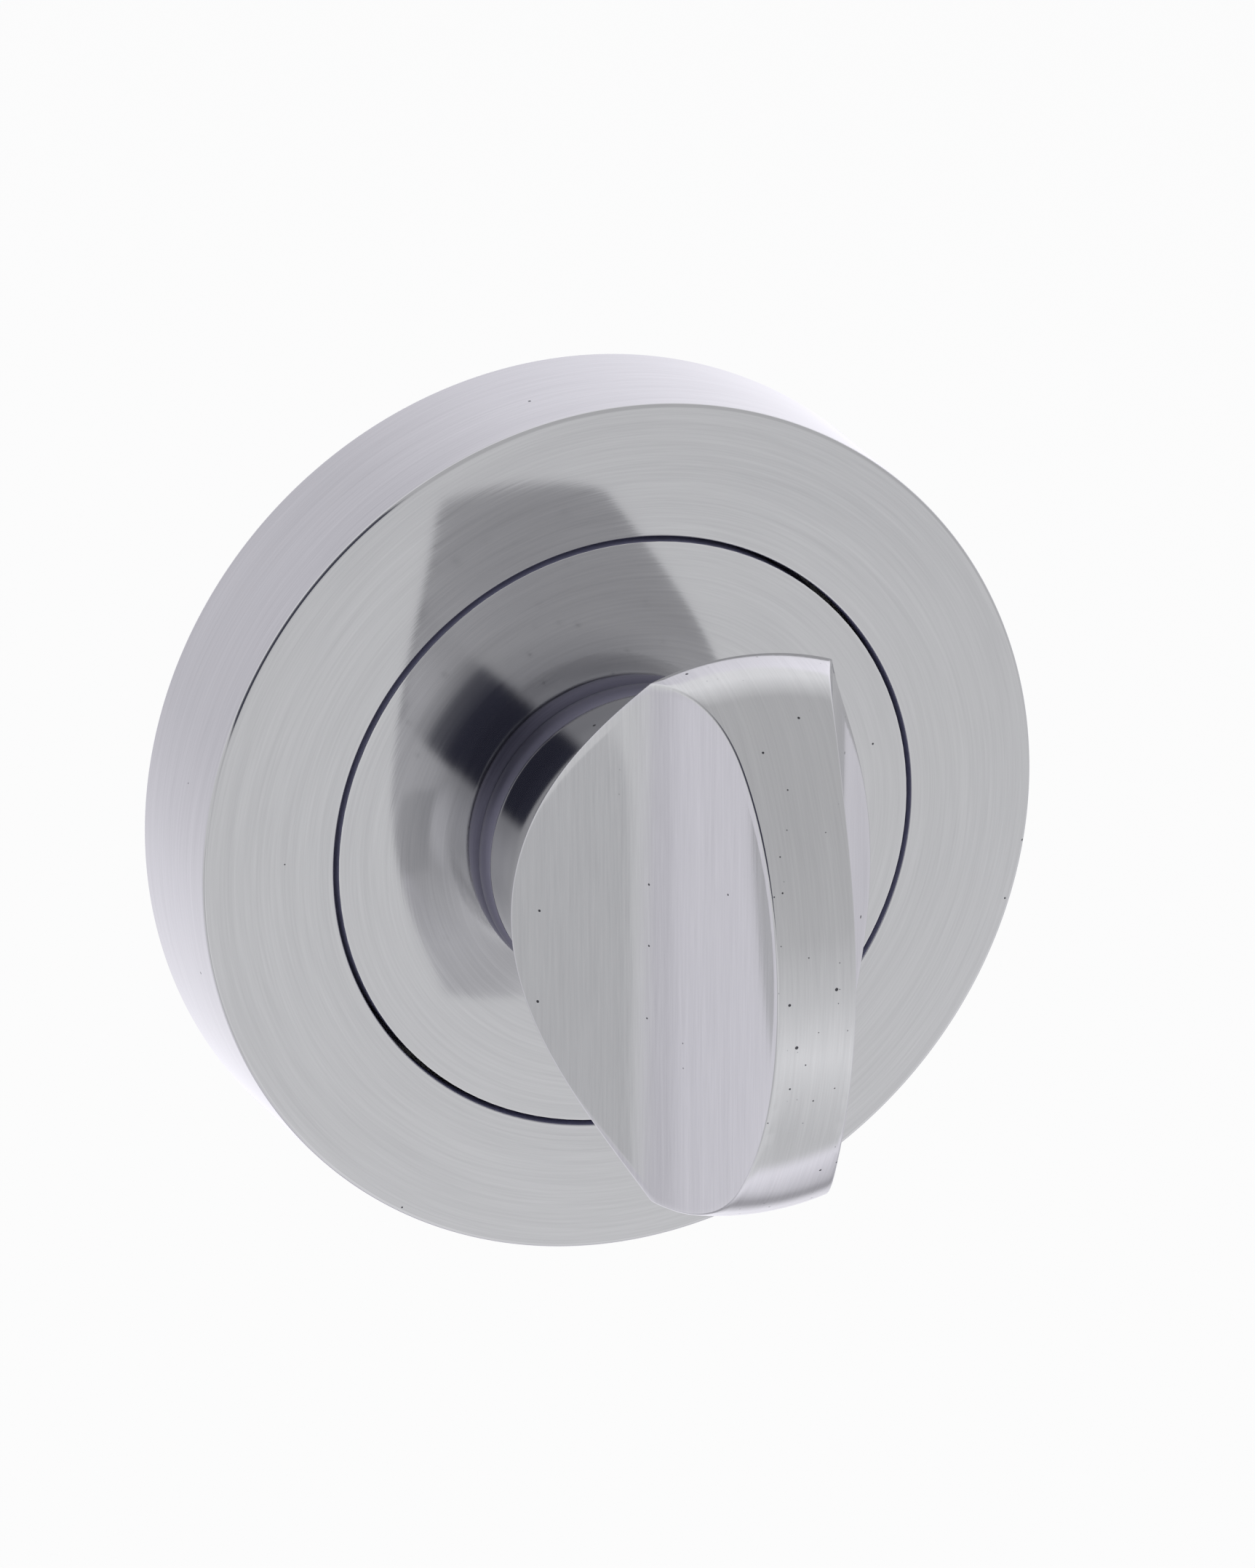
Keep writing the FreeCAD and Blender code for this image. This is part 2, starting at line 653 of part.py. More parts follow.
def check_pieces(pieces):
    """Stop if any object of the document failed, or if a piece isn't a sound solid."""
    for item in doc.Objects:
        if {"Invalid", "Error"} & set(item.State):
            raise RuntimeError(f"{item.Name}: {item.State} {item.getStatusString()}")
    for piece in pieces:
        shape = piece.Shape
        if shape.isNull() or not shape.isValid() or len(shape.Solids) != 1:
            raise RuntimeError(f"{piece.Label}: not one valid solid")
        box = shape.BoundBox
        print(f"{piece.Label:14s} {shape.Volume:9.1f} mm3  X {box.XMin:7.2f} {box.XMax:7.2f}"
              f"  Y {box.YMin:7.2f} {box.YMax:7.2f}  Z {box.ZMin:7.2f} {box.ZMax:7.2f}")


def write_pieces(pieces):
    os.makedirs("parts", exist_ok=True)
    for piece in pieces:
        piece.Shape.exportStep(f"parts/{piece.Label}.step")


all_pieces = make_pieces()
check_pieces(all_pieces)
write_pieces(all_pieces)
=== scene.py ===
# %% [markdown]
# A bathroom thumb turn: a scooped knob on a trumpet neck, in a round rose that screws over
# its fixing screws. The CAD model is the frame, and everything here is made around it in metres.
# Three ways lead to such a scene: dress the CAD meshes, model new pieces over them, or both.
# Both are used. The polished pieces that the eye rests on are modelled anew with dense, even
# meshes, because a reflection shows every facet. The small steel parts keep their CAD shape.

from math import asin, atan2, cos, pi, radians, sqrt

import bmesh
import bpy
from mathutils import Matrix, Vector


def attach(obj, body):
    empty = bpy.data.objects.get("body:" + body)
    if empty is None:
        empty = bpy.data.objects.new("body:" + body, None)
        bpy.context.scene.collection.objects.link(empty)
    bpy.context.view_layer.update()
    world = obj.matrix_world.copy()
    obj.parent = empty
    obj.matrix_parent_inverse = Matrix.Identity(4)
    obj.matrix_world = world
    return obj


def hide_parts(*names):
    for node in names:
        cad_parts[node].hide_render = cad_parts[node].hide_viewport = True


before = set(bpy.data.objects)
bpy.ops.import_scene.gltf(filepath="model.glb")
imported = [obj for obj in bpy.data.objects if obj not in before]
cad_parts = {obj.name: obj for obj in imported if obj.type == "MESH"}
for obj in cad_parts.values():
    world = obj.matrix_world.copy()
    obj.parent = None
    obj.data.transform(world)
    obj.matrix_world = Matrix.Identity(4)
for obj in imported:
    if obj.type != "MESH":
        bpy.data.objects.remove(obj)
bpy.context.view_layer.update()
MM = 0.001
print("nodes:", sorted(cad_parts))

# %% [markdown]
# The camera stands to the left of the knob and a little above it, close enough for some
# perspective. Its place was worked out from the ellipses of the rose in the photograph. A camera
# can be turned with a track-to constraint, but three plain axes say exactly where it looks.

# %% Camera
PHOTO_FOCUS = 8000
PHOTO_HEIGHT = 2156
SENSOR = 36
NEAREST = 0.01
CAMERA_PLACE = (-119.08, -303.32, 120.56)
CAMERA_RIGHT = (0.92631, -0.37674, -0.00349)
CAMERA_UP = (0.13384, 0.32039, 0.93778)

camera_data = bpy.data.cameras.new("camera")
camera_data.sensor_width = SENSOR
camera_data.lens = SENSOR * PHOTO_FOCUS / PHOTO_HEIGHT
camera_data.clip_start = NEAREST
camera = bpy.data.objects.new("camera", camera_data)
camera_right = Vector(CAMERA_RIGHT).normalized()
camera_up = Vector(CAMERA_UP).normalized()
camera_back = camera_right.cross(camera_up)
camera_axes = Matrix((camera_right, camera_up, camera_back)).transposed().to_4x4()
camera.matrix_world = Matrix.Translation(Vector(CAMERA_PLACE) * MM) @ camera_axes
bpy.context.scene.collection.objects.link(camera)
bpy.context.scene.camera = camera
print("lens:", round(camera_data.lens, 1), "mm")

# %% [markdown]
# Shader nodes can be made in the editor by hand. In a script, one small helper that adds a
# node, sets it and links it keeps each material down to the few lines that matter.

# %% Node helper
def add(tree, kind, inputs=None, **settings):
    """Add a shader node. Each input is a value, or another node's output to link."""
    made = tree.nodes.new("ShaderNode" + kind)
    for name, value in settings.items():
        setattr(made, name, value)
    for socket, value in (inputs or {}).items():
        if isinstance(value, bpy.types.NodeSocket):
            tree.links.new(value, made.inputs[socket])
        else:
            made.inputs[socket].default_value = value
    return made


def new_material(name):
    material = bpy.data.materials.new(name)
    material.use_nodes = True
    material.node_tree.nodes.clear()
    return material, material.node_tree


# %% [markdown]
# Polished metal has hardly a colour of its own: it shows the room. So the room is designed first,
# as a soft tent round the object with a neutral wall in front and a lilac one behind. An image of
# a studio could do the same, but ramps on the direction are easier to tune. A ramp lifts or
# lowers one part of a wall and is held at both ends, so it leaves the rest alone.

# %% World: helpers
world = bpy.data.worlds.new("studio")
bpy.context.scene.world = world
world.use_nodes = True
sky = world.node_tree
sky.nodes.clear()
direction = add(sky, "TexCoord").outputs["Generated"]
towards = add(sky, "SeparateXYZ", {0: direction})


def ramp(tree, value, from_min, from_max, to_min, to_max):
    """Map a value from one range to another, and hold it at the ends."""
    return add(tree, "MapRange", {"Value": value, "From Min": from_min, "From Max": from_max,
                                  "To Min": to_min, "To Max": to_max}).outputs["Result"]


def math(tree, operation, first, second):
    return add(tree, "Math", {0: first, 1: second}, operation=operation).outputs[0]


def tent_wall(colour, strength):
    wall = add(sky, "Background", {"Color": colour})
    sky.links.new(strength, wall.inputs["Strength"])
    return wall.outputs[0]


def sum_of(tree, *parts):
    total = parts[0]
    for part in parts[1:]:
        total = math(tree, "ADD", total, part)
    return total


def beyond(normal):
    """How far a direction lies on the normal's side of a plane through the middle."""
    return add(sky, "VectorMath", {0: direction, 1: normal},
               operation="DOT_PRODUCT").outputs["Value"]


x, y, z = (towards.outputs[axis] for axis in "XYZ")

# %% [markdown]
# The front wall is what the rose's face and the crest show. It is lighter below, except at the
# far left and steeply below on the right, and lighter again towards the door and at the far
# left. A soft glow, low on the left in front, shows in the small round beside the crest.

# %% World: front wall
ROOM_FRONT = (0.995, 1.0, 1.01, 1)
GLOW_TOWARDS = (-0.57, -0.735, -0.37)

below = math(sky, "MULTIPLY", ramp(sky, x, -0.8, 0.1, 0.0, 1.0), sum_of(
    sky, ramp(sky, z, -0.1, -0.4, 0.0, 0.15), ramp(sky, z, -0.4, -0.62, 0.0, 0.19)))
below_right = math(sky, "MULTIPLY", ramp(sky, x, -0.1, 0.3, 0.0, 1.0),
                   ramp(sky, z, -0.64, -0.88, 0.0, -0.25))
by_height = ramp(sky, z, -0.2, 0.4, 0.66, 0.61)
near_door = ramp(sky, y, 0.15, 0.5, 0.0, 0.42)
far_left = ramp(sky, x, -0.6, -0.85, 0.0, 0.15)
low_glow = ramp(sky, beyond(GLOW_TOWARDS), 0.95, 0.995, 0.0, 0.26)
front = sum_of(sky, below, below_right, by_height, near_door, far_left, low_glow)

# %% [markdown]
# The back wall is what the rim and the bright part of the hollow show. It gets brighter from the
# upper left to the lower right, and drops at the far lower right. A belt round it, on the way to
# the front wall, is a little lighter. Its foot, steeply below, has shades of its own, which the
# lower end of the crest shows. The two walls meet in a narrow soft border.

# %% World: back wall
ROOM_BEHIND = (1.0, 0.985, 1.05, 1)
BACK_TOWARDS = (0, 1, -0.5)

sideways = math(sky, "SUBTRACT", x, math(sky, "MULTIPLY", z, 0.6))
upper_left = ramp(sky, sideways, -0.5, -0.15, 0.74, 0.92)
lower_right = ramp(sky, sideways, -0.15, 0.5, 0.0, 0.19)
belt = ramp(sky, y, 0.22, 0.32, 0.0, 0.12)
past_belt = ramp(sky, y, 0.62, 0.8, 0.0, -0.12)
far_corner = ramp(sky, sideways, 0.58, 0.9, 0.0, -0.48)
back = sum_of(sky, upper_left, lower_right, belt, past_belt, far_corner)
foot = sum_of(sky, ramp(sky, y, -0.08, 0.26, 1.1, 0.49), ramp(sky, y, 0.36, 0.62, 0.0, 0.7))
back = add(sky, "Mix", {"Factor": ramp(sky, z, -0.62, -0.8, 0.0, 1.0), "A": back,
                        "B": foot}).outputs["Result"]
behind = beyond(BACK_TOWARDS)
tent = add(sky, "MixShader", {
    0: ramp(sky, behind, 0.28, 0.36, 0.0, 1.0),
    1: tent_wall(ROOM_FRONT, front), 2: tent_wall(ROOM_BEHIND, back)})

# %% [markdown]
# The tent has a dark slot for the camera. Four planes through the middle bound it, and a dot
# product tells on which side of a plane a direction lies. Three of its borders are crisp, and the
# far one fades out. The trumpet neck shows this slot, and the rose shows the neck. The camera
# itself sees no tent but plain white, as behind an object cut out for a catalogue.

# %% World: slot for the camera
SLOT_SHADE = (0.055, 0.057, 0.085, 1)
SLOT_FAR_SIDE = (0.193, -0.975, -0.112)
SLOT_CRISP_SIDES = ((-0.866, -0.1, -0.487), (0.24, -0.165, 0.957), (-0.803, 0.283, 0.524))
CRISP = 0.03

far = beyond(SLOT_FAR_SIDE)
slot = sum_of(sky, ramp(sky, far, -0.45, -0.15, 0.0, 0.48), ramp(sky, far, -0.13, -0.05, 0.0, 0.32),
              ramp(sky, far, -0.05, 0.5, 0.0, 0.2))
for normal in SLOT_CRISP_SIDES:
    slot = math(sky, "MULTIPLY", slot, ramp(sky, beyond(normal), -CRISP, CRISP, 0.0, 1.0))
dark = add(sky, "Background", {"Color": SLOT_SHADE, "Strength": 1.0})
room = add(sky, "MixShader", {0: slot, 1: tent.outputs[0], 2: dark.outputs[0]})
white = add(sky, "Background", {"Color": (1, 1, 1, 1), "Strength": 1.0})
rays = add(sky, "LightPath")
seen = add(sky, "MixShader", {0: rays.outputs["Is Camera Ray"], 1: room.outputs[0],
                              2: white.outputs[0]})
add(sky, "OutputWorld", {"Surface": seen.outputs[0]})
bpy.context.scene.view_settings.view_transform = "Standard"

# %% [markdown]
# The rose is held by its door face, so the knob stands out in front of it and the spindle behind.
# The floor lies well below them and only takes their faint shadow. For the camera it is nearly all
# plain white. It is hidden from reflections, so that metal shows the lower part of the tent.

# %% Floor
FLOOR_DROP = 0.12
FLOOR_SIDE = 6.0
FLOOR_SHADE = (0.86, 0.86, 0.86, 1)
WHITE_SHARE = 0.92

floor_mesh = bpy.data.meshes.new("floor")
floor_bm = bmesh.new()
bmesh.ops.create_grid(floor_bm, x_segments=1, y_segments=1, size=FLOOR_SIDE / 2)
bmesh.ops.translate(floor_bm, verts=floor_bm.verts, vec=(0, 0, -FLOOR_DROP))
floor_bm.to_mesh(floor_mesh)
floor_bm.free()
floor = bpy.data.objects.new("floor", floor_mesh)
bpy.context.scene.collection.objects.link(floor)
floor.visible_glossy = False

floor_paint, tree = new_material("pale_floor")
matte = add(tree, "BsdfDiffuse", {"Color": FLOOR_SHADE})
glow = add(tree, "Emission", {"Color": (1, 1, 1, 1), "Strength": 1.0})
rays = add(tree, "LightPath")
share = math(tree, "MULTIPLY", rays.outputs["Is Camera Ray"], WHITE_SHARE)
surface = add(tree, "MixShader", {0: share, 1: matte.outputs[0], 2: glow.outputs[0]})
add(tree, "OutputMaterial", {"Surface": surface.outputs[0]})
floor.data.materials.append(floor_paint)

# %% [markdown]
# A photographer puts cards, called flags, beside shiny metal, so that its forms get lines and
# edges. A grey one close on the left gives the hollow side of the knob its grey window with a
# rounded corner. Only reflections see it, and it stands to one side of everything the lamp lights.

# %% Grey card
CARD_AWAY = -80
CARD_SHADE = (0.645, 0.65, 0.66, 1)
CARD_CORNERS = [(-19.6, -90), (-19.6, -22), (-20.3, -18.5), (-21.7, -16.5), (-24, -15.3),
                (-28, -13.5), (-34, -11), (-70, -8), (-70, -90)]

bm = bmesh.new()
bm.faces.new([bm.verts.new((CARD_AWAY * MM, y * MM, z * MM)) for y, z in CARD_CORNERS])
card_mesh = bpy.data.meshes.new("grey_card")
bm.to_mesh(card_mesh)
bm.free()
card = bpy.data.objects.new("grey_card", card_mesh)
bpy.context.scene.collection.objects.link(card)
for ray in ("camera", "diffuse", "shadow", "transmission", "volume_scatter"):
    setattr(card, "visible_" + ray, False)
paint, tree = new_material("grey_card")
glow = add(tree, "Emission", {"Color": CARD_SHADE, "Strength": 1.0})
add(tree, "OutputMaterial", {"Surface": glow.outputs[0]})
card_mesh.materials.append(paint)

# %% [markdown]
# One large soft lamp from above gives the floor its shadow. It is hidden from reflections too, so
# that the tent and the card alone make what the metal shows.

# %% Lamp
LAMP_SIDE = 0.7
LAMP_WATTS = 1.5
LAMP_PLACE = (-0.35, 0.25, 0.8)

lamp_data = bpy.data.lights.new("lamp_above", "AREA")
lamp_data.size = LAMP_SIDE
lamp_data.energy = LAMP_WATTS
lamp = bpy.data.objects.new("lamp_above", lamp_data)
lamp.location = LAMP_PLACE
lamp.visible_glossy = False
lamp.rotation_euler = (-lamp.location).to_track_quat("-Z", "Y").to_euler()
bpy.context.scene.collection.objects.link(lamp)

# %% [markdown]
# Every turned piece starts as half of its section: a line of corners beside the axis. The line is
# drawn with straight edges, hollow and round curves are swung with spin, and a spin about the
# axis makes the solid. Lathed pieces in a real workshop come about in the same way. The work is
# done in millimetres, and each finished mesh is brought to metres.

# %% Sections
SAME_PLACE = 0.0005


def corner(bm, radius, height):
    """Vertex of a section: its distance from the axis, and its distance out of the door."""
    return bm.verts.new((radius, -height, 0))


def run(bm, start, radius, height, pieces=1):
    """Straight edges from a vertex to a corner. Gives the last vertex."""
    first = start.co.copy()
    goal = Vector((radius, -height, 0))
    for step in range(1, pieces + 1):
        vert = bm.verts.new(first.lerp(goal, step / pieces))
        bm.edges.new((start, vert))
        start = vert
    return start


def swing(bm, start, radius, height, angle, steps):
    """Round edges: the vertex swings about a centre. A positive angle turns towards the door."""
    spun = bmesh.ops.spin(bm, geom=[start], cent=(radius, -height, 0), axis=(0, 0, 1),
                          dvec=(0, 0, 0), angle=angle, steps=steps, use_duplicate=False)
    return next(item for item in spun["geom_last"] if isinstance(item, bmesh.types.BMVert))


def lathe(bm, steps, angle=2 * pi):
    """Spin the section about the axis. A full turn closes on itself."""
    bmesh.ops.spin(bm, geom=bm.verts[:] + bm.edges[:], cent=(0, 0, 0), axis=(0, 1, 0),
                   dvec=(0, 0, 0), angle=angle, steps=steps, use_duplicate=False,
                   use_merge=abs(angle) > pi)
    bmesh.ops.remove_doubles(bm, verts=bm.verts, dist=SAME_PLACE)
    bmesh.ops.recalc_face_normals(bm, faces=bm.faces)


def closed_section(bm, corners):
    """Closed section of straight edges."""
    first = corner(bm, *corners[0])
    last = first
    for place in corners[1:]:
        last = run(bm, last, *place)
    bm.edges.new((last, first))


# %% [markdown]
# No real edge is a knife edge: filing, brushing and plating leave a small round, and that round
# catches a thin line of light. Bevel makes it. The edges are picked by the angle between their
# faces. Afterwards the large faces keep their own normals, so that the round stays in its
# narrow strip and flat faces reflect as flat.

# %% Rounded edges
def round_edges(bm, width, least_angle, segments=3, pick=None):
    """Bevel the edges that turn by more than least_angle degrees."""
    sharp = [edge for edge in bm.edges
             if edge.is_manifold and edge.calc_face_angle() > radians(least_angle)
             and (pick is None or pick(edge))]
    bmesh.ops.bevel(bm, geom=sharp, offset=width, offset_type="OFFSET", segments=segments,
                    profile=0.5, affect="EDGES", clamp_overlap=False, loop_slide=False,
                    material=-1)
    return len(sharp)


def rides_and_replaces(piece, body, slot, *nodes):
    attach(piece, body)
    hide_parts(*nodes)


def add_piece(name, bm):
    """Object from a mesh in millimetres, smooth, in metres."""
    bmesh.ops.scale(bm, vec=(MM, MM, MM), verts=bm.verts)
    mesh = bpy.data.meshes.new(name)
    bm.to_mesh(mesh)
    bm.free()
    mesh.shade_smooth()
    piece = bpy.data.objects.new(name, mesh)
    bpy.context.scene.collection.objects.link(piece)
    print(f"{name}: {len(mesh.polygons)} faces")
    return piece


def keep_faces_flat(piece):
    """Large faces keep their normals, and the narrow rounds beside them bend."""
    normals = piece.modifiers.new("flat_faces", "WEIGHTED_NORMAL")
    normals.weight = 100
    normals.keep_sharp = True


# %% [markdown]
# The cover ring is spun or turned from sheet and hides the fixing screws. Its rim widens a
# little towards the door. It is one section and one spin.

# %% Cover ring
ROSE_FACE = 9.5
RIM_FRONT = 26.0
RIM_BACK = 26.5
WINDOW = 18.148
CAVITY = 24.9
INSIDE_FACE = 7.9
TURNED_STEPS = 320
SQUARE_EDGE = 50
RIM_ROUND = 0.22
WINDOW_ROUND = 0.1
BETWEEN_WALL_AND_RIM = 25.5

bm = bmesh.new()
closed_section(bm, [(WINDOW, ROSE_FACE), (RIM_FRONT, ROSE_FACE), (RIM_BACK, 0), (CAVITY, 0),
                    (CAVITY, INSIDE_FACE), (WINDOW, INSIDE_FACE)])
lathe(bm, TURNED_STEPS)
round_edges(bm, RIM_ROUND, SQUARE_EDGE, pick=lambda edge: min(
    vert.co.xz.length for vert in edge.verts) > BETWEEN_WALL_AND_RIM)
round_edges(bm, WINDOW_ROUND, SQUARE_EDGE, segments=2, pick=lambda edge: max(
    vert.co.xz.length for vert in edge.verts) < BETWEEN_WALL_AND_RIM)
cover = add_piece("brushed_cover", bm)
keep_faces_flat(cover)
rides_and_replaces(cover, "rose", "satin_nickel", "cover_ring")

# %% [markdown]
# The collar is a slim turned bead that fills the joint between rose and knob. Its round is a real
# swing of the section, because light runs along it as one thin line. Following the photograph, it
# stands a tenth of a millimetre taller than the CAD collar.

# %% Neck collar
COLLAR_BORE = 7.45
COLLAR_LAND = 9.2
COLLAR_FRONT = 11.2
BEAD_RADIUS = 1.3
BEAD_STEPS = 14
COLLAR_ROUND = 0.06

bm = bmesh.new()
bead_middle = (ROSE_FACE + COLLAR_FRONT) / 2
bead_half = asin((COLLAR_FRONT - ROSE_FACE) / 2 / BEAD_RADIUS)
first = corner(bm, COLLAR_BORE, ROSE_FACE)
last = run(bm, first, COLLAR_LAND, ROSE_FACE)
last = swing(bm, last, COLLAR_LAND - BEAD_RADIUS * cos(bead_half), bead_middle, -2 * bead_half,
             BEAD_STEPS)
last = run(bm, last, COLLAR_BORE, COLLAR_FRONT)
bm.edges.new((last, first))
lathe(bm, TURNED_STEPS)
round_edges(bm, COLLAR_ROUND, 45, segments=2)
collar = add_piece("bead_collar", bm)
keep_faces_flat(collar)
rides_and_replaces(collar, "rose", "satin_nickel", "neck_collar")

# %% [markdown]
# The knob is cast and turned, and then two hollow faces are milled into its sides, so that an
# upright blade is left for finger and thumb. A boolean could cut them, but it leaves ragged edges
# that no bevel likes. Here each point is moved sideways by the depth of the hollow at its height.
# That turns the hollow into a plane, bisect cuts along the plane, and moving the points back
# turns the cut into the hollow. A quarter is enough: mirror makes the rest. From the neck to the
# crown all edges of the section are about 0.42 mm long, so that the faces stay about square.

# %% Knob: turned quarter
NECK = 9.35
NECK_BACK = 11.4
FLARE_START = 14.35
FLARE_RADIUS = 7.65
KNOB_RIM = 16.4
KNOB_RIM_HEIGHT = 26.101
CROWN = 36.85
SHOULDER = 8.201
SHANK = 6.0
SHANK_END = 0.4
GROOVE = 5.5
GROOVE_BACK = 1.05
GROOVE_FRONT = 1.85
EDGE_CHAMFER = 0.3
COLUMNS = 48

to_rim = Vector((KNOB_RIM - NECK - FLARE_RADIUS, KNOB_RIM_HEIGHT - FLARE_START))
flare_angle = atan2(to_rim.x, to_rim.y) + asin(FLARE_RADIUS / to_rim.length)
dome_rise = CROWN - KNOB_RIM_HEIGHT
crown_radius = ((KNOB_RIM ** 2 + dome_rise ** 2 - 2 * KNOB_RIM * SHOULDER)
                / (2 * (dome_rise - SHOULDER)))
crown_centre = CROWN - crown_radius
shoulder_angle = atan2(KNOB_RIM_HEIGHT - crown_centre, KNOB_RIM - SHOULDER)

bm = bmesh.new()
last = corner(bm, 0, SHANK_END)
last = run(bm, last, SHANK - EDGE_CHAMFER, SHANK_END)
last = run(bm, last, SHANK, SHANK_END + EDGE_CHAMFER)
last = run(bm, last, SHANK, GROOVE_BACK)
last = run(bm, last, GROOVE, GROOVE_BACK)
last = run(bm, last, GROOVE, GROOVE_FRONT)
last = run(bm, last, SHANK, GROOVE_FRONT)
last = run(bm, last, SHANK, NECK_BACK, 4)
last = run(bm, last, NECK, NECK_BACK, 2)
last = run(bm, last, NECK, FLARE_START, 7)
last = swing(bm, last, NECK + FLARE_RADIUS, FLARE_START, flare_angle, 12)
last = run(bm, last, KNOB_RIM, KNOB_RIM_HEIGHT, 21)
last = swing(bm, last, KNOB_RIM - SHOULDER, KNOB_RIM_HEIGHT, -shoulder_angle, 19)
last = swing(bm, last, 0, crown_centre, shoulder_angle - pi / 2, 32)
lathe(bm, COLUMNS, -pi / 2)
print("flare", round(flare_angle * 180 / pi, 2), "degrees, crown radius", round(crown_radius, 2))

# %% [markdown]
# The columns of a spun mesh crowd together towards the axis. There every second one is welded to
# its neighbour, and nearer in every second one again, so that all faces stay about square.

# %% Knob: fewer columns near the axis
COLUMN_SPACING = 0.3
COLUMN_ANGLE = pi / 2 / COLUMNS
MOST_WELDED = 16

rings = {}
for vert in bm.verts:
    if -vert.co.y > KNOB_RIM_HEIGHT and vert.co.xz.length > 0.01:
        column = round(atan2(vert.co.z, vert.co.x) / COLUMN_ANGLE)
        rings[round(-vert.co.y, 2), column] = vert
targets = {}
for (height, column), vert in rings.items():
    kept_every = 1
    while (vert.co.xz.length * COLUMN_ANGLE * kept_every < COLUMN_SPACING
           and kept_every < MOST_WELDED):
        kept_every *= 2
    if column % kept_every:
        targets[vert] = rings[height, column - column % kept_every]
bmesh.ops.weld_verts(bm, targetmap=targets)
print("welded near the axis:", len(targets))

# %% [markdown]
# The hollow is a round of 25 mm radius, drawn beside the blade. Its depth at a height is how far
# its round stands from the middle of the blade. A plane that passes close to a point leaves a
# sliver there, and a sliver spoils the bevel. So the nearest points first slide along their own
# edges onto the plane. The points of the rim stay on the rim, and those of the mirror plane on
# the mirror plane.

# %% Knob: hollow sides
SCOOP_RADIUS = 25.0
SCOOP_HEIGHT = 38.3
WAIST_HALF = 2.3
CUT_WITHIN = 1e-4
MERGE_WITHIN = 1e-3


def hollow(height):
    """Distance of the hollow's face from the middle of the blade, at a height off the door."""
    across = SCOOP_RADIUS ** 2 - (SCOOP_HEIGHT - height) ** 2
    return WAIST_HALF + SCOOP_RADIUS - sqrt(max(across, 0))


def shift_by_hollow(bm, sign):
    for vert in bm.verts:
        vert.co.x += sign * hollow(-vert.co.y)


def bound_to(vert):
    """What a point has to stay on: the mirror plane, the rim, both or neither."""
    return abs(vert.co.z) < CUT_WITHIN, abs(-vert.co.y - KNOB_RIM_HEIGHT) < MERGE_WITHIN


def slide_to_cut(bm):
    """Slide the nearest points along their edges onto the plane x = 0."""
    slides = []
    for edge in bm.edges:
        first, second = edge.verts
        if first.co.x * second.co.x >= 0:
            continue
        share = first.co.x / (first.co.x - second.co.x)
        place = first.co.lerp(second.co, share)
        for vert, other in ((first, second), (second, first)):
            if all(its or not mine for mine, its in zip(bound_to(vert), bound_to(other))):
                slides.append(((vert.co - place).length, len(slides), edge, vert, place))
    moved = set()
    for _, _, edge, vert, place in sorted(slides, key=lambda slide: slide[:2]):
        if moved.isdisjoint(edge.verts):
            vert.co = place
            vert.co.x = 0
            moved.add(vert)
    return len(moved)


shift_by_hollow(bm, -1)
print("points slid onto the cut:", slide_to_cut(bm))
bmesh.ops.bisect_plane(bm, geom=bm.verts[:] + bm.edges[:] + bm.faces[:], dist=CUT_WITHIN,
                       plane_co=(0, 0, 0), plane_no=(1, 0, 0), clear_outer=True)
bmesh.ops.mirror(bm, geom=bm.verts[:] + bm.edges[:] + bm.faces[:], merge_dist=MERGE_WITHIN,
                 axis="Z")
outline = [edge for edge in bm.edges
           if edge.is_boundary and all(abs(vert.co.x) < MERGE_WITHIN for vert in edge.verts)]
print("edges round the hollow:", len(outline), "shortest",
      round(min(edge.calc_length() for edge in outline), 3), "mm")

# %% [markdown]
# The open cut is filled with one face while it is still flat. An inset leaves a strip of even
# width beside the edge, and slices across the rest let the face bend with the hollow. Then the
# points go back, and the second mirror closes the knob.

# %% Knob: fill the hollow, mirror and round
INSET = 0.5
SLICE = 0.4
BLADE_ROUND = 0.12
BLADE_EDGE = 20

inner = bmesh.ops.edgeloop_fill(bm, edges=outline)["faces"]
bmesh.ops.inset_region(bm, faces=inner, thickness=INSET, use_even_offset=True)
heights = [-vert.co.y for vert in inner[0].verts]
slices = int((max(heights) - min(heights)) / SLICE)
for number in range(1, slices):
    height = min(heights) + (max(heights) - min(heights)) * number / slices
    geometry = {item for face in inner for item in (face, *face.verts, *face.edges)}
    halves = bmesh.ops.bisect_plane(bm, geom=list(geometry), dist=CUT_WITHIN,
                                    plane_co=(0, -height, 0), plane_no=(0, 1, 0))
    inner = [item for item in halves["geom"] if isinstance(item, bmesh.types.BMFace)]
print("faces across the hollow:", len(inner))
shift_by_hollow(bm, 1)
bmesh.ops.mirror(bm, geom=bm.verts[:] + bm.edges[:] + bm.faces[:], merge_dist=MERGE_WITHIN,
                 axis="X")
bmesh.ops.recalc_face_normals(bm, faces=bm.faces)
print("open edges:", sum(not edge.is_manifold for edge in bm.edges))
rounded = round_edges(bm, BLADE_ROUND, BLADE_EDGE,
                      pick=lambda edge: min(-vert.co.y for vert in edge.verts) > NECK_BACK - 0.1)
print("rounded edges:", rounded)

# %% [markdown]
# A square socket for the spindle, a cross hole for the grub screw and two flats on the shank are
# left. They meet the knob where nothing else ends, so a boolean with plain cutters
# serves well there.

# %% Knob: socket, cross hole and flats
SOCKET_SIDE = 5.1
SOCKET_END = 23.0
GRUB_HEIGHT = 13.7
GRUB_HOLE = 2.0
FLATS_SIDE = 5.0
FLATS_END = 3.5
FLATS_CUT = (4, FLATS_END + 2, 14)
GRUB_CUT_LENGTH = 9
GRUB_CUT_MIDDLE = -6.5

cutter_bm = bmesh.new()


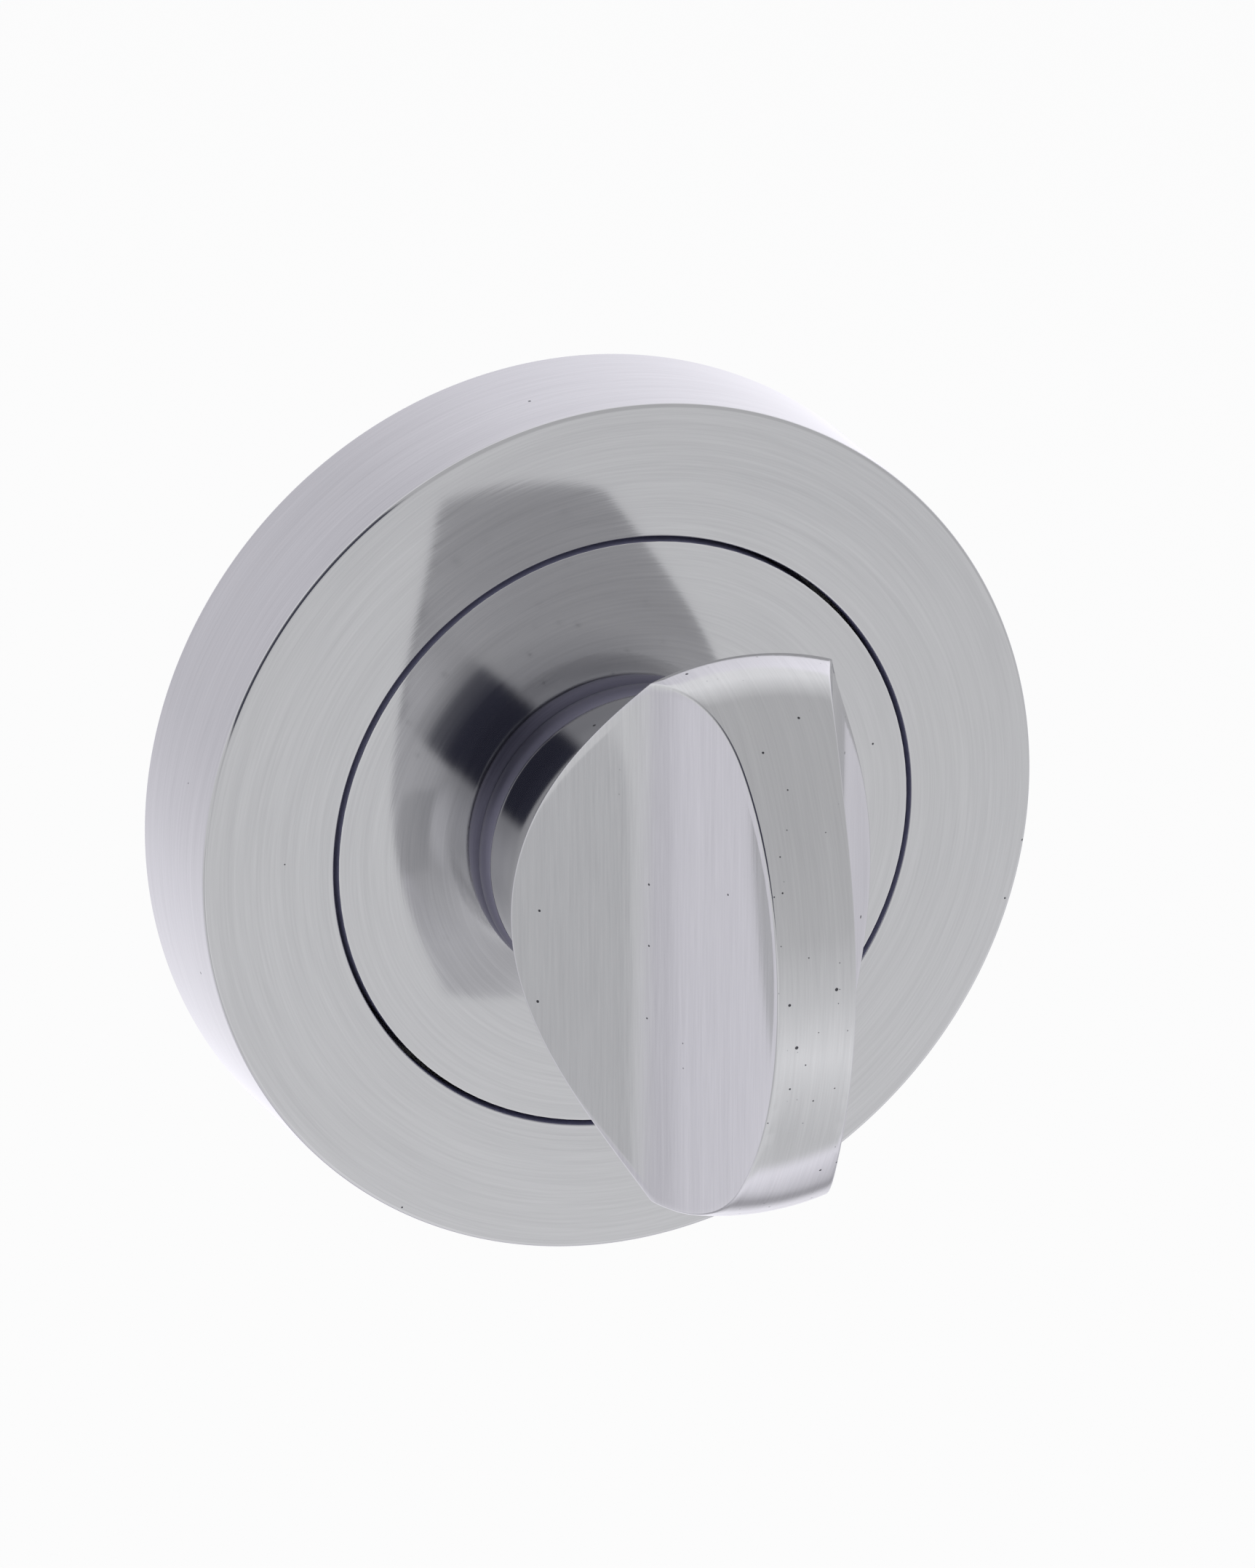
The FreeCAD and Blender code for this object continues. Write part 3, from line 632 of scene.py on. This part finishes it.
def cutter_box(centre, sides):
    place = Matrix.Translation(centre) @ Matrix.Diagonal((*sides, 1))
    bmesh.ops.create_cube(cutter_bm, size=1, matrix=place)


cutter_box((0, -SOCKET_END / 2 + 1, 0), (SOCKET_SIDE, SOCKET_END + 2, SOCKET_SIDE))
for side in (1, -1):
    cutter_box((side * (FLATS_SIDE + FLATS_CUT[0] / 2), -FLATS_END / 2 + 1, 0), FLATS_CUT)
along_z = Matrix.Translation((0, -GRUB_HEIGHT, GRUB_CUT_MIDDLE))
bmesh.ops.create_cone(cutter_bm, cap_ends=True, segments=64, radius1=GRUB_HOLE,
                      radius2=GRUB_HOLE, depth=GRUB_CUT_LENGTH, matrix=along_z)
bmesh.ops.recalc_face_normals(cutter_bm, faces=cutter_bm.faces)
cutter = add_piece("cutter", cutter_bm)

knob = add_piece("scooped_knob", bm)
holes = knob.modifiers.new("holes", "BOOLEAN")
holes.operation = "DIFFERENCE"
holes.solver = "EXACT"
holes.use_self = True
holes.object = cutter
bpy.context.view_layer.update()
cut_knob = bpy.data.meshes.new_from_object(knob.evaluated_get(
    bpy.context.evaluated_depsgraph_get()))
knob.modifiers.clear()
knob.data = cut_knob
bpy.data.objects.remove(cutter)
cut_knob.shade_smooth()
print("knob faces:", len(cut_knob.polygons))
keep_faces_flat(knob)
rides_and_replaces(knob, "turn", "satin_nickel", "thumb_turn")

# %% [markdown]
# The remaining pieces keep their CAD meshes. Such a mesh is loose triangles, so modifiers weld
# it, merge its flat faces, and give its edges the same kind of small round. The mesh itself stays
# as it came.

# %% Small parts
EDGE_WIDTHS = {"rose_base": 0.12, "bush": 0.08, "stop_cam": 0.08, "circlip": 0.06,
               "thrust_washer": 0.06, "spindle": 0.1, "grub_screw": 0.08}
WELD_WITHIN = 0.002
FLAT_ANGLE = 1
EDGE_ANGLE = 35


def finish_cad(node, width):
    """Weld a CAD node, merge its flat faces and break its edges, with modifiers alone."""
    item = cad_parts[node]
    weld = item.modifiers.new("weld", "WELD")
    weld.merge_threshold = WELD_WITHIN * MM
    planar = item.modifiers.new("merge_flat", "DECIMATE")
    planar.decimate_type = "DISSOLVE"
    planar.angle_limit = radians(FLAT_ANGLE)
    bevel = item.modifiers.new("broken_edges", "BEVEL")
    bevel.width = width * MM
    bevel.segments = 2
    bevel.limit_method = "ANGLE"
    bevel.angle_limit = radians(EDGE_ANGLE)
    bevel.harden_normals = True


for node, width in EDGE_WIDTHS.items():
    finish_cad(node, width)

# %% [markdown]
# Satin nickel is brushed with a fine belt, so each surface carries lines. On turned faces the
# lines run round the axis. They come from noise that varies fast with the distance from the axis
# and along the axis, and slowly around. An effect that is used more than once is a node group.

# %% Group: turned lines
def new_group(name, inputs, outputs):
    """Shader node group. Gives its tree, its input node and its output node."""
    tree = bpy.data.node_groups.new(name, "ShaderNodeTree")
    for socket, default in inputs.items():
        made = tree.interface.new_socket(socket, in_out="INPUT", socket_type="NodeSocketFloat")
        made.default_value = default
    for socket in outputs:
        tree.interface.new_socket(socket, in_out="OUTPUT", socket_type="NodeSocketFloat")
    return tree, tree.nodes.new("NodeGroupInput"), tree.nodes.new("NodeGroupOutput")


def place_group(tree, group, **values):
    made = tree.nodes.new("ShaderNodeGroup")
    made.node_tree = group
    for socket, value in values.items():
        made.inputs[socket].default_value = value
    return made


def times(tree, value, factor):
    return math(tree, "MULTIPLY", value, factor)


def from_axis(tree, place):
    """Distance from the axis of a place that is split into X, Y and Z."""
    flat = add(tree, "CombineXYZ", {"X": place.outputs["X"], "Y": place.outputs["Z"]})
    return add(tree, "VectorMath", {0: flat.outputs[0]}, operation="LENGTH").outputs["Value"]


turned_lines, tree_in, tree_out = new_group("turned_lines", {"Lines": 7000, "Streak": 150},
                                            ["Lines", "Height"])
tree = turned_lines
place = add(tree, "SeparateXYZ", {0: add(tree, "TexCoord").outputs["Object"]})
along = math(tree, "SUBTRACT", from_axis(tree, place), place.outputs["Y"])
across = add(tree, "CombineXYZ", {"X": times(tree, along, tree_in.outputs["Lines"]),
                                  "Y": times(tree, place.outputs["X"], tree_in.outputs["Streak"]),
                                  "Z": times(tree, place.outputs["Z"], tree_in.outputs["Streak"])})
noise = add(tree, "TexNoise", {"Vector": across.outputs[0], "Scale": 1.0, "Detail": 3.0,
                               "Roughness": 0.65})
tree.links.new(ramp(tree, noise.outputs["Fac"], 0.3, 0.7, 0.0, 1.0), tree_out.inputs["Lines"])
tree.links.new(noise.outputs["Fac"], tree_out.inputs["Height"])

# %% [markdown]
# The blade is brushed along its length by hand. Its lines are straight and run upright, so the
# noise varies slowly along Z. Across the lines it follows Y on the hollow sides, where X hardly
# changes, and X on the crest, where Y hardly changes. The normal in the object's own axes tells
# the two apart, and it turns with the knob.

# %% Group: straight lines
SIDE_FROM = 0.4
SIDE_WHOLLY = 0.6

straight_lines, tree_in, tree_out = new_group("straight_lines", {"Lines": 7000, "Streak": 200},
                                              ["Lines", "Height"])
tree = straight_lines
texture_place = add(tree, "TexCoord")
place = add(tree, "SeparateXYZ", {0: texture_place.outputs["Object"]})
facing = add(tree, "SeparateXYZ", {0: texture_place.outputs["Normal"]})
side = math(tree, "ABSOLUTE", facing.outputs["X"], 0)
on_side = ramp(tree, side, SIDE_FROM, SIDE_WHOLLY, 0.0, 1.0)
sideways = add(tree, "Mix", {"Factor": on_side, "A": place.outputs["X"],
                             "B": place.outputs["Y"]}).outputs["Result"]
across = add(tree, "CombineXYZ", {"X": times(tree, sideways, tree_in.outputs["Lines"]),
                                  "Z": times(tree, place.outputs["Z"], tree_in.outputs["Streak"])})
noise = add(tree, "TexNoise", {"Vector": across.outputs[0], "Scale": 1.0, "Detail": 3.0,
                               "Roughness": 0.65})
tree.links.new(ramp(tree, noise.outputs["Fac"], 0.3, 0.7, 0.0, 1.0), tree_out.inputs["Lines"])
tree.links.new(noise.outputs["Fac"], tree_out.inputs["Height"])

# %% [markdown]
# Hands and cloth polish the edges a little brighter, and that brighter colour also stands in for
# the thin highlight along them: partly wear, partly painted highlight. The Bevel node gives the
# normal that an edge would have if it were rounder. Where that departs from the real normal, an
# edge is near, and noise breaks the line up. Pointiness could find the edges too, but it depends
# on the mesh.
# Old plating also has a few dark pits, up to two tenths of a millimetre wide, which come from the
# cells of a Voronoi texture.

# %% Groups: edge wear and painted edge highlight, and pits
edge_wear_and_sheen, tree_in, tree_out = new_group("edge_wear_and_sheen", {"Radius": 0.0003}, ["Worn"])
tree = edge_wear_and_sheen
rounder = add(tree, "Bevel", {"Radius": tree_in.outputs["Radius"]}, samples=6)
own = add(tree, "NewGeometry").outputs["Normal"]
alike = add(tree, "VectorMath", {0: rounder.outputs["Normal"], 1: own},
            operation="DOT_PRODUCT").outputs["Value"]
broken = add(tree, "TexNoise", {"Vector": add(tree, "TexCoord").outputs["Object"],
                                "Scale": 900.0, "Detail": 2.0})
# The mask places worn edges and the painted highlight along them.
worn_and_sheen = math(tree, "MULTIPLY", ramp(tree, alike, 0.985, 0.85, 0.0, 1.0),
            ramp(tree, broken.outputs["Fac"], 0.3, 0.6, 0.35, 1.0))
tree.links.new(worn_and_sheen, tree_out.inputs["Worn"])

pits, tree_in, tree_out = new_group("pits", {"Cells": 900, "Size": 0.1, "Share": 0.05}, ["Pit"])
tree = pits
cells = add(tree, "TexVoronoi", {"Vector": add(tree, "TexCoord").outputs["Object"],
                                 "Scale": tree_in.outputs["Cells"]})
chance = add(tree, "SeparateColor", {0: cells.outputs["Color"]})
reach = times(tree, ramp(tree, chance.outputs[1], 0.0, 1.0, 0.25, 1.0), tree_in.outputs["Size"])
inside = math(tree, "LESS_THAN", cells.outputs["Distance"], reach)
chosen = math(tree, "LESS_THAN", chance.outputs[0], tree_in.outputs["Share"])
tree.links.new(times(tree, inside, chosen), tree_out.inputs["Pit"])

# %% [markdown]
# The joint where the cover ring meets the boss is painted matt and dark blue: painted shade, which
# stands in for the dim look of the narrow gap. Bare metal walls would make it pitch black, because
# light dies between them. Distance from the axis and depth below the face tell where the joint is.

# %% Group: painted shade in the joint
JOINT_MIDDLE = WINDOW - 0.15
JOINT_HALF = 0.2
JOINT_TOP = 9.45

joint, _, tree_out = new_group("joint", {}, ["Joint"])
tree = joint
place = add(tree, "SeparateXYZ", {0: add(tree, "TexCoord").outputs["Object"]})
off_middle = math(tree, "SUBTRACT", from_axis(tree, place), JOINT_MIDDLE * MM)
off_middle = math(tree, "ABSOLUTE", off_middle, 0)
near = math(tree, "LESS_THAN", off_middle, JOINT_HALF * MM)
deep = math(tree, "GREATER_THAN", place.outputs["Y"], -JOINT_TOP * MM)
tree.links.new(times(tree, near, deep), tree_out.inputs["Joint"])

# %% [markdown]
# Satin nickel is a near-mirror under its lines: low roughness, so that the rose still shows the
# knob in it. The lines change shade, roughness and height together, and the same lines at a
# coarser scale add the sweeps of the belt. A broad, slow noise clouds the plating, as real
# plating is never quite even. The knob is turned behind and brushed straight in front, and the
# direction of its surface tells which lines it gets. Its neck is painted darker towards the rose:
# painted shade. Its crest, which every hand meets, has the most pits, and fine specks between them.
# The collar is rougher, and its colour is a darker, lilac copy of the nickel: painted shade.

# %% Satin nickel
NICKEL = ((0.55, 0.55, 0.57, 1), (0.68, 0.68, 0.70, 1), (0.63, 0.625, 0.63, 1))
# Painted shade: a darker, lilac copy of the nickel, for the collar.
SHADED_NICKEL = ((0.2, 0.196, 0.26, 1), (0.28, 0.272, 0.355, 1), (0.26, 0.252, 0.33, 1))
# Painted shade: the darker colour of the knob's neck.
NECK_PAINTED_SHADE = (0.36, 0.36, 0.385, 1)
# Partly painted highlight: edges are painted brighter, for wear and for the highlight along them.
EDGE_WEAR_AND_SHEEN = (0.76, 0.76, 0.77, 1)
PIT_COLOUR = (0.07, 0.07, 0.08, 1)
# Painted shade: the matt dark blue colour of the joint between cover ring and boss.
JOINT_SHADE = (0.3, 0.3, 0.43, 1)
JOINT_ROUGH = 0.7
SWEEPS = {"Lines": 1300, "Streak": 40}
SWEEP_SHARE = 0.4
SPECKS = {"Cells": 1700, "Share": 0.35}
CREST_PITS = 1.0
CLOUDS = 70.0
CLOUD_SHARE = 0.6
WEAR_AND_SHEEN_SHARE = 0.8
NECK_SHADE_FROM = 18
NECK_SHADE_WHOLLY = 13
LINE_HEIGHT = 1e-6
BRUSHED_ROUGH = (0.07, 0.12)
KNOB_ROUGH = (0.08, 0.14)
COLLAR_ROUGH = (0.45, 0.55)


def mixed(tree, share, first, second):
    return add(tree, "Mix", {"Factor": share, "A": first, "B": second},
               data_type="RGBA").outputs[2]


def blended(tree, share, first, second):
    return add(tree, "Mix", {"Factor": share, "A": first, "B": second}).outputs["Result"]


def brushed(tree, groups):
    """Lines and height of one brushing, or of turned lines behind and straight ones in front."""
    fine = [place_group(tree, group) for group in groups]
    sweeps = [place_group(tree, group, **SWEEPS) for group in groups]
    pairs = [(fine[0].outputs["Lines"], sweeps[0].outputs["Lines"], fine[0].outputs["Height"])]
    if len(groups) == 2:
        facing = add(tree, "SeparateXYZ", {0: add(tree, "TexCoord").outputs["Normal"]})
        turned = ramp(tree, facing.outputs["Y"], -0.06, -0.01, 0.0, 1.0)
        pairs = [tuple(blended(tree, turned, straight.outputs[name], round_.outputs[name])
                       for straight, round_, name in ((fine[1], fine[0], "Lines"),
                                                      (sweeps[1], sweeps[0], "Lines"),
                                                      (fine[1], fine[0], "Height")))]
    line, sweep, height = pairs[0]
    return blended(tree, SWEEP_SHARE, line, sweep), height


def satin_nickel(name, groups, colours, rough, pit_share, is_knob=False):
    """Brushed nickel. The groups give the lines."""
    material, tree = new_material(name)
    dark, light, cloudy = colours
    lines, height = brushed(tree, groups)
    broad = add(tree, "TexNoise", {"Vector": add(tree, "TexCoord").outputs["Object"],
                                   "Scale": CLOUDS, "Detail": 2.0})
    tone = mixed(tree, lines, dark, light)
    tone = mixed(tree, ramp(tree, broad.outputs["Fac"], 0.0, 1.0, 0.0, CLOUD_SHARE), tone, cloudy)
    if is_knob:
        out = add(tree, "SeparateXYZ", {0: add(tree, "TexCoord").outputs["Object"]})
        # Painted shade: the neck is painted darker towards the rose.
        neck_shade = ramp(tree, out.outputs["Y"], -NECK_SHADE_FROM * MM, -NECK_SHADE_WHOLLY * MM, 0.0, 1.0)
        tone = mixed(tree, neck_shade, tone, NECK_PAINTED_SHADE)
    # Partly painted highlight: edges are painted brighter, for wear and for the highlight along
    # them.
    wear_and_sheen = place_group(tree, edge_wear_and_sheen)
    tone = mixed(tree, times(tree, wear_and_sheen.outputs["Worn"], WEAR_AND_SHEEN_SHARE), tone, EDGE_WEAR_AND_SHEEN)
    pit = place_group(tree, pits, Share=pit_share)
    holes = pit.outputs["Pit"]
    if is_knob:
        facing = add(tree, "SeparateXYZ", {0: add(tree, "TexCoord").outputs["Normal"]})
        side = math(tree, "ABSOLUTE", facing.outputs["X"], 0)
        share = ramp(tree, side, SIDE_FROM, SIDE_WHOLLY, CREST_PITS, pit_share)
        tree.links.new(share, pit.inputs["Share"])
        specks = place_group(tree, pits, **SPECKS).outputs["Pit"]
        on_crest = ramp(tree, side, SIDE_FROM, SIDE_WHOLLY, 1.0, 0.0)
        holes = math(tree, "MAXIMUM", holes, times(tree, specks, on_crest))
    tone = mixed(tree, holes, tone, PIT_COLOUR)
    # Painted shade: the joint between cover ring and boss is painted matt dark blue.
    painted_joint_shade = place_group(tree, joint).outputs["Joint"]
    tone = mixed(tree, painted_joint_shade, tone, JOINT_SHADE)
    bump = add(tree, "Bump", {"Height": height, "Strength": 1.0, "Distance": LINE_HEIGHT})
    metal = add(tree, "BsdfPrincipled", {
        "Base Color": tone, "Metallic": math(tree, "SUBTRACT", 1.0, painted_joint_shade),
        "Normal": bump.outputs[0],
        "Roughness": blended(tree, painted_joint_shade, ramp(tree, lines, 0.0, 1.0, *rough), JOINT_ROUGH)})
    add(tree, "OutputMaterial", {"Surface": metal.outputs[0]})
    return material


cover.data.materials.append(satin_nickel("satin_nickel_turned", [turned_lines], NICKEL,
                                         BRUSHED_ROUGH, pit_share=0.05))
knob.data.materials.append(satin_nickel("satin_nickel_knob", [turned_lines, straight_lines],
                                        NICKEL, KNOB_ROUGH, pit_share=0.2, is_knob=True))
collar.data.materials.append(satin_nickel("shaded_nickel_collar", [turned_lines], SHADED_NICKEL,
                                          COLLAR_ROUGH, pit_share=0.0))

# %% [markdown]
# The rose base is brushed only on its round front, which shows inside the cover ring. The rest
# stays as it was cast, rough and dull. The place along Y parts the two.

# %% Rose base
CAST_ZINC = ((0.36, 0.36, 0.37, 1), (0.5, 0.5, 0.51, 1))
CAST_ROUGH = (0.42, 0.6)
BRUSHED_FROM = 9.2
SAND = 3000.0
SAND_HEIGHT = 2e-5

base_finish, tree = new_material("rose_base_finish")
place = add(tree, "TexCoord").outputs["Object"]
out = add(tree, "SeparateXYZ", {0: place})
front = math(tree, "LESS_THAN", out.outputs["Y"], -BRUSHED_FROM * MM)
lines, height = brushed(tree, [turned_lines])
sand = add(tree, "TexNoise", {"Vector": place, "Scale": SAND, "Detail": 3.0})
broad = add(tree, "TexNoise", {"Vector": place, "Scale": CLOUDS, "Detail": 2.0})
polished = mixed(tree, lines, NICKEL[0], NICKEL[1])
polished = mixed(tree, ramp(tree, broad.outputs["Fac"], 0.0, 1.0, 0.0, CLOUD_SHARE), polished,
                 NICKEL[2])
polished = mixed(tree, place_group(tree, pits).outputs["Pit"], polished, PIT_COLOUR)
cast = mixed(tree, sand.outputs["Fac"], *CAST_ZINC)
tone = mixed(tree, front, cast, polished)
# Partly painted highlight: edges are painted brighter, for wear and for the highlight along them.
wear_and_sheen = place_group(tree, edge_wear_and_sheen)
tone = mixed(tree, times(tree, wear_and_sheen.outputs["Worn"], WEAR_AND_SHEEN_SHARE), tone, EDGE_WEAR_AND_SHEEN)
# Painted shade: the joint between cover ring and boss is painted matt dark blue.
painted_joint_shade = place_group(tree, joint).outputs["Joint"]
tone = mixed(tree, painted_joint_shade, tone, JOINT_SHADE)
fine_bump = add(tree, "Bump", {"Height": height, "Strength": 1.0, "Distance": LINE_HEIGHT})
sand_bump = add(tree, "Bump", {"Height": sand.outputs["Fac"], "Strength": 1.0,
                               "Distance": SAND_HEIGHT})
normal = add(tree, "Mix", {"Factor": front, "A": sand_bump.outputs[0], "B": fine_bump.outputs[0]},
             data_type="VECTOR").outputs[1]
rough = blended(tree, front, ramp(tree, sand.outputs["Fac"], 0.3, 0.7, *CAST_ROUGH),
                ramp(tree, lines, 0.0, 1.0, *BRUSHED_ROUGH))
metal = add(tree, "BsdfPrincipled", {
    "Base Color": tone, "Metallic": math(tree, "SUBTRACT", 1.0, painted_joint_shade), "Normal": normal,
    "Roughness": blended(tree, painted_joint_shade, rough, JOINT_ROUGH)})
add(tree, "OutputMaterial", {"Surface": metal.outputs[0]})

# %% [markdown]
# The hidden parts get plain finishes: bright zinc plating with its bluish cast, blackened spring
# steel, and natural nylon with a faint mould grain.

# %% Steel and nylon
def plain_finish(name, dark, light, metallic, rough, grain, height):
    """Finish with a fine grain that changes its shade, roughness and height."""
    material, tree = new_material(name)
    noise = add(tree, "TexNoise", {"Vector": add(tree, "TexCoord").outputs["Object"],
                                   "Scale": grain, "Detail": 4.0, "Roughness": 0.6})
    tone = mixed(tree, ramp(tree, noise.outputs["Fac"], 0.25, 0.75, 0.0, 1.0), dark, light)
    # Partly painted highlight: edges are painted brighter, for wear and for the highlight along
    # them.
    wear_and_sheen = place_group(tree, edge_wear_and_sheen)
    tone = mixed(tree, times(tree, wear_and_sheen.outputs["Worn"], 0.5), tone, light)
    bump = add(tree, "Bump", {"Height": noise.outputs["Fac"], "Strength": 1.0,
                              "Distance": height})
    body = add(tree, "BsdfPrincipled", {
        "Base Color": tone, "Metallic": metallic, "Normal": bump.outputs[0],
        "Roughness": ramp(tree, noise.outputs["Fac"], 0.25, 0.75, *rough)})
    add(tree, "OutputMaterial", {"Surface": body.outputs[0]})
    return material


zinc = plain_finish("zinc_plated", (0.6, 0.63, 0.67, 1), (0.71, 0.72, 0.72, 1), 1.0,
                    (0.22, 0.42), 900.0, 4e-6)
black_steel = plain_finish("oil_black_steel", (0.11, 0.1, 0.1, 1), (0.22, 0.21, 0.21, 1), 1.0,
                           (0.35, 0.55), 1500.0, 4e-6)
nylon = plain_finish("natural_nylon", (0.82, 0.81, 0.76, 1), (0.88, 0.87, 0.84, 1), 0.0,
                     (0.42, 0.55), 2000.0, 5e-6)
for node, material in (("rose_base", base_finish), ("bush", nylon), ("stop_cam", zinc),
                       ("thrust_washer", zinc), ("circlip", black_steel), ("spindle", zinc),
                       ("grub_screw", black_steel)):
    for material_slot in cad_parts[node].material_slots:
        material_slot.material = material
